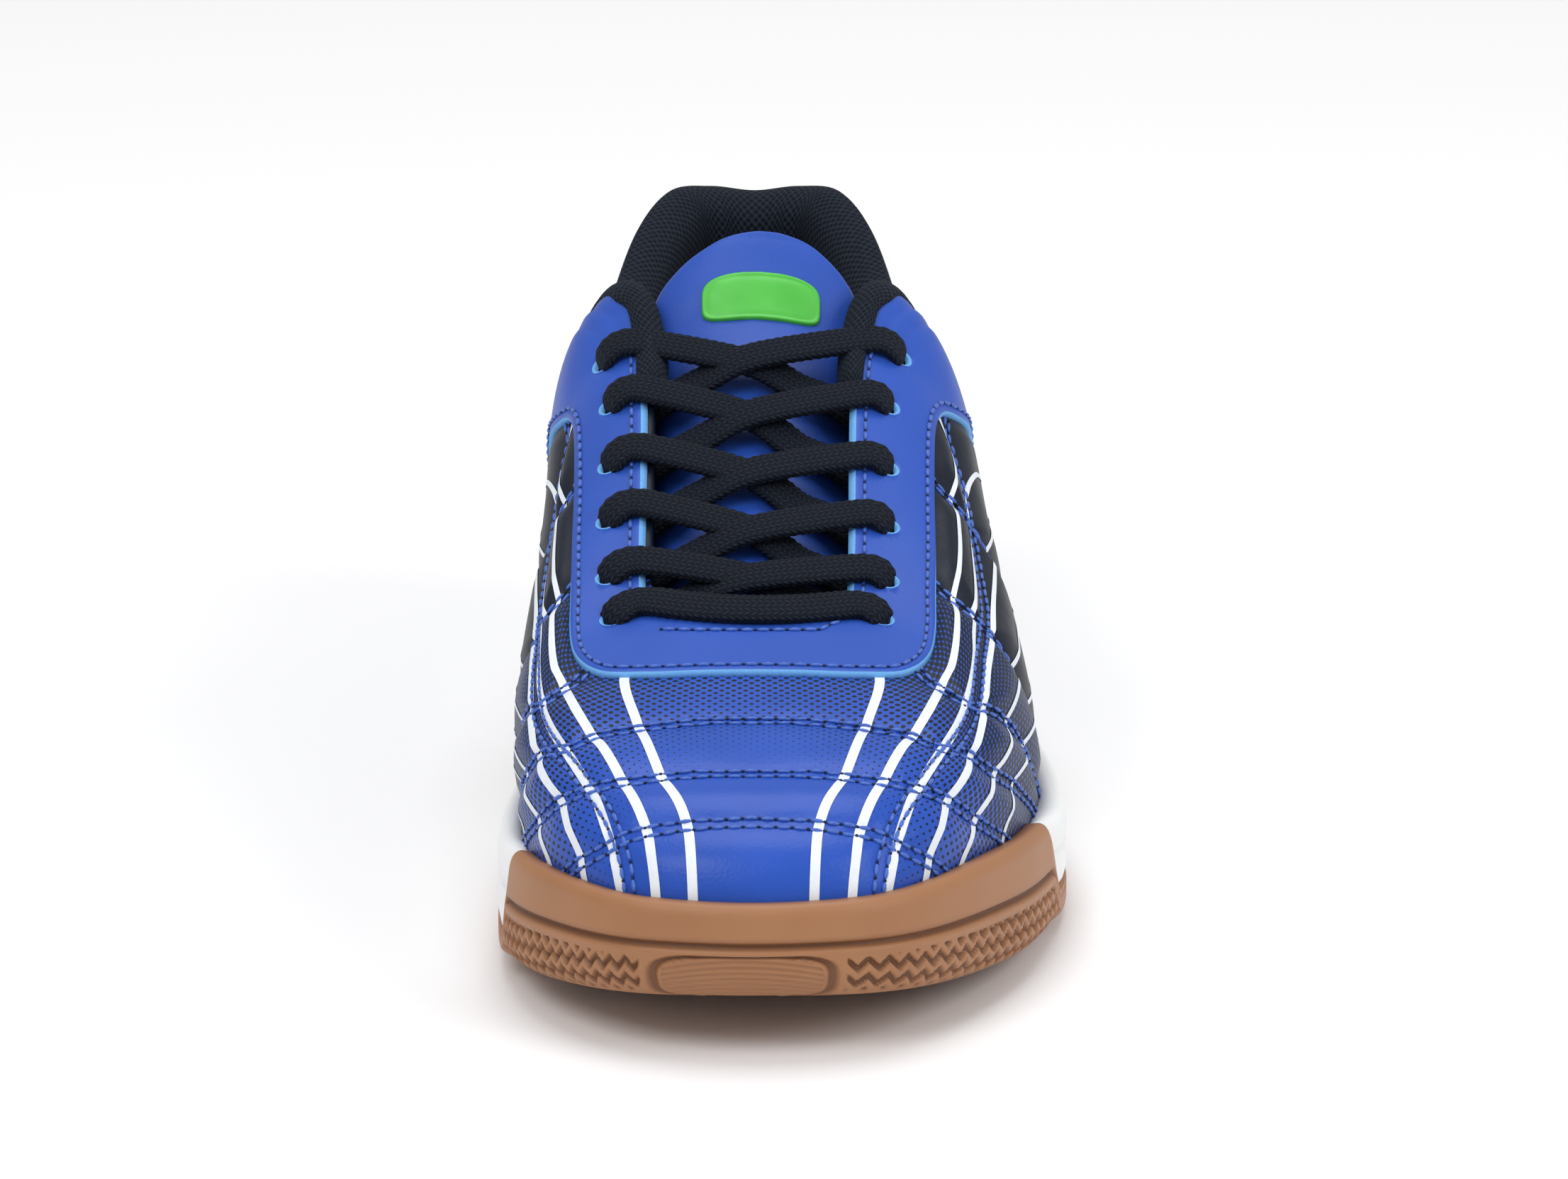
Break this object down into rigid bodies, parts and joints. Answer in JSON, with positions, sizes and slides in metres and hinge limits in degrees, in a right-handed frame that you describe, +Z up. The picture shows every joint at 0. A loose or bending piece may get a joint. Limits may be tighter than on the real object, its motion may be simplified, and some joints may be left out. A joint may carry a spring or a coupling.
{
  "type": "indoor court shoe",
  "caption": "Low indoor court shoe for the left foot: quilted synthetic upper with padded collar and tongue, crossed flat laces, white foam midsole and gum rubber outsole with toe bumper.",
  "frame": {"origin": "on the floor, under the middle of the shoe's length and width", "axes": "+Y from toe to heel, +X to the outer side of the left foot, +Z up"},
  "size_m": [0.1066, 0.292, 0.1082],
  "materials": {
    "gum_rubber": "matte",
    "white_foam": "matte",
    "footbed_cloth": "woven",
    "printed_synthetic": "satin",
    "blue_synthetic": "satin",
    "collar_knit": "mesh knit",
    "tongue_synthetic": "satin",
    "lace_weave": "woven"
  },
  "bodies": {
    "root": {"outsole": "gum_rubber", "midsole": "white_foam", "insole": "footbed_cloth", "upper": "printed_synthetic", "eyestay": "blue_synthetic", "collar": "collar_knit", "tongue": "tongue_synthetic", "lace_bar": "lace_weave", "lace_crossing_2": "lace_weave", "lace_crossing_3": "lace_weave", "lace_crossing_4": "lace_weave", "lace_crossing_5": "lace_weave", "lace_crossing_6": "lace_weave"}
  },
  "joints": []
}
